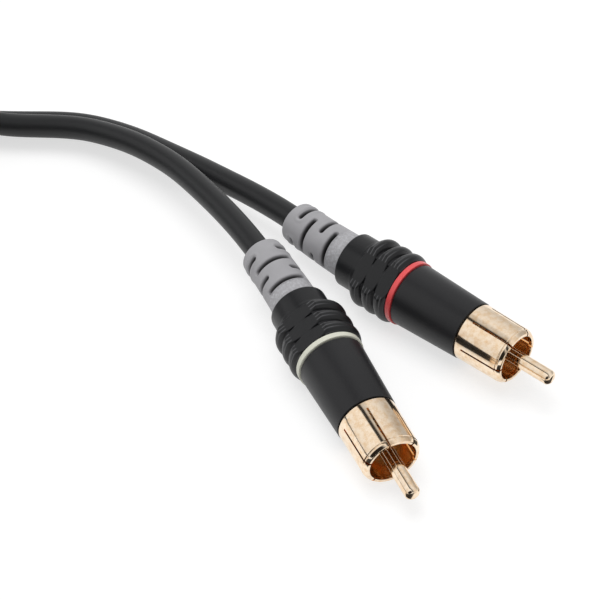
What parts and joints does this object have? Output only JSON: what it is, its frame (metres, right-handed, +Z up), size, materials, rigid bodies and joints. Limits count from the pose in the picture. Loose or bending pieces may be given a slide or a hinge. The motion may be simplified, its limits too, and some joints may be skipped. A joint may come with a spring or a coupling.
{
  "type": "stereo phono audio cable",
  "caption": "Audio lead: side-by-side cords with white and red phono plugs, slotted strain reliefs and ribbed grip nuts, the spare length wound in a tied coil.",
  "frame": {"origin": "on the table, under the middle of the near plugs", "axes": "+Z up from the table; +Y away from the viewer; the near plugs point towards -Y and +X, and the cords leave towards -X"},
  "size_m": [0.188, 0.1582, 0.0239],
  "materials": {
    "contact_gold": "gold plated, polished",
    "insulator": "plain",
    "black_shell": "satin",
    "black_grip": "satin",
    "white_ring": "satin",
    "red_ring": "satin",
    "grey_boot": "matt",
    "cord_jacket": "satin",
    "tie_strap": "hook and loop"
  },
  "bodies": {
    "root": {"near_white_pin": "contact_gold", "near_white_insulator": "insulator", "near_white_sleeve": "contact_gold", "near_white_shell": "black_shell", "near_white_ring": "white_ring", "near_white_nut": "black_grip", "near_white_chuck": "insulator", "near_white_boot": "grey_boot", "near_white_cable_end": "cord_jacket", "near_red_pin": "contact_gold", "near_red_insulator": "insulator", "near_red_sleeve": "contact_gold", "near_red_shell": "black_shell", "near_red_ring": "red_ring", "near_red_nut": "black_grip", "near_red_chuck": "insulator", "near_red_boot": "grey_boot", "near_red_cable_end": "cord_jacket", "far_white_pin": "contact_gold", "far_white_insulator": "insulator", "far_white_sleeve": "contact_gold", "far_white_shell": "black_shell", "far_white_ring": "white_ring", "far_white_nut": "black_grip", "far_white_chuck": "insulator", "far_white_boot": "grey_boot", "far_white_cable_end": "cord_jacket", "far_red_pin": "contact_gold", "far_red_insulator": "insulator", "far_red_sleeve": "contact_gold", "far_red_shell": "black_shell", "far_red_ring": "red_ring", "far_red_nut": "black_grip", "far_red_chuck": "insulator", "far_red_boot": "grey_boot", "far_red_cable_end": "cord_jacket", "near_white_cord": "cord_jacket", "near_red_cord": "cord_jacket", "far_white_cord": "cord_jacket", "far_red_cord": "cord_jacket", "coil": "cord_jacket", "strap": "tie_strap"}
  },
  "joints": []
}
